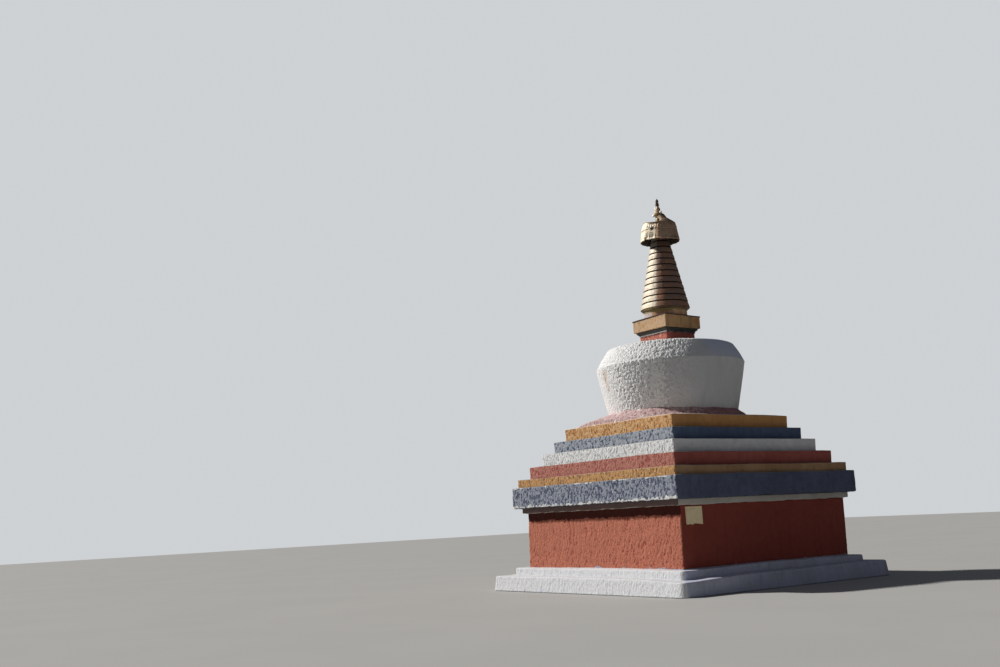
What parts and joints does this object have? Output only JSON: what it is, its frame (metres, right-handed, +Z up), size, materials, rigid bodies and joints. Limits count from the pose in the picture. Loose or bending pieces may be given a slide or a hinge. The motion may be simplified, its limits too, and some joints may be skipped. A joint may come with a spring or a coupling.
{
  "type": "stupa",
  "caption": "Painted masonry stupa: stepped square base, round white dome, square harmika and a gilt ringed spire under a parasol.",
  "frame": {"origin": "on the ground at the centre of the plinth", "axes": "+Z up the spire; -Y out of the wall with the notice board; X along that wall"},
  "size_m": [6.272, 6.272, 8.9297],
  "materials": {
    "whitewash": "rough hand-thrown plaster with lime whitewash, pebbled, faintly streaked",
    "grey_wash": "whitewashed plaster, greyer and dirtier near the ground, chipped edges",
    "terracotta": "terracotta-red wash on plaster combed in vertical streaks",
    "red_wash": "brick-red wash on rough plaster",
    "slate_blue": "slate-blue wash on rough plaster, white showing through the bumps",
    "ochre": "yellow-ochre wash on rough plaster",
    "rose": "faded pink-red wash on rough plaster",
    "tan_wash": "tan-ochre wash with vertical rain stains",
    "dark_paint": "dark green-black paint, weathered",
    "cap_sheet": "thin dark sheet-metal edge, dull",
    "gilt": "gilt copper sheet, worn to copper in patches",
    "aged_gilt": "aged gilt copper sheet, brown and greenish tarnish",
    "neck_red": "dull dark red paint",
    "board_paint": "faded cream-yellow paint, grimy, worn along its lower edge"
  },
  "bodies": {
    "root": {"plinth_lower": "grey_wash", "plinth_upper": "grey_wash", "throne": "terracotta", "throne_lip": "whitewash", "cornice_band": "slate_blue", "tier_yellow_lower": "ochre", "tier_red": "red_wash", "tier_white": "whitewash", "tier_blue": "slate_blue", "tier_yellow_upper": "ochre", "dome_bank": "rose", "dome": "whitewash", "harmika_box": "red_wash", "harmika_ledge": "whitewash", "harmika_moulding": "dark_paint", "harmika_slab": "tan_wash", "slab_cap": "cap_sheet", "spire_pedestal": "whitewash", "spire_collar": "aged_gilt", "spire_ring_01": "gilt", "spire_ring_02": "gilt", "spire_ring_03": "gilt", "spire_ring_04": "gilt", "spire_ring_05": "gilt", "spire_ring_06": "gilt", "spire_ring_07": "gilt", "spire_ring_08": "gilt", "spire_ring_09": "gilt", "spire_ring_10": "gilt", "spire_ring_11": "gilt", "spire_ring_12": "gilt", "spire_ring_13": "gilt", "spire_neck": "neck_red", "parasol_skirt": "gilt", "parasol_band": "gilt", "parasol_cornice": "aged_gilt", "parasol_roof": "aged_gilt", "finial_lotus": "gilt", "finial_bulb": "gilt", "finial_discs": "aged_gilt", "finial_tip": "aged_gilt", "notice_board": "board_paint"}
  },
  "joints": []
}
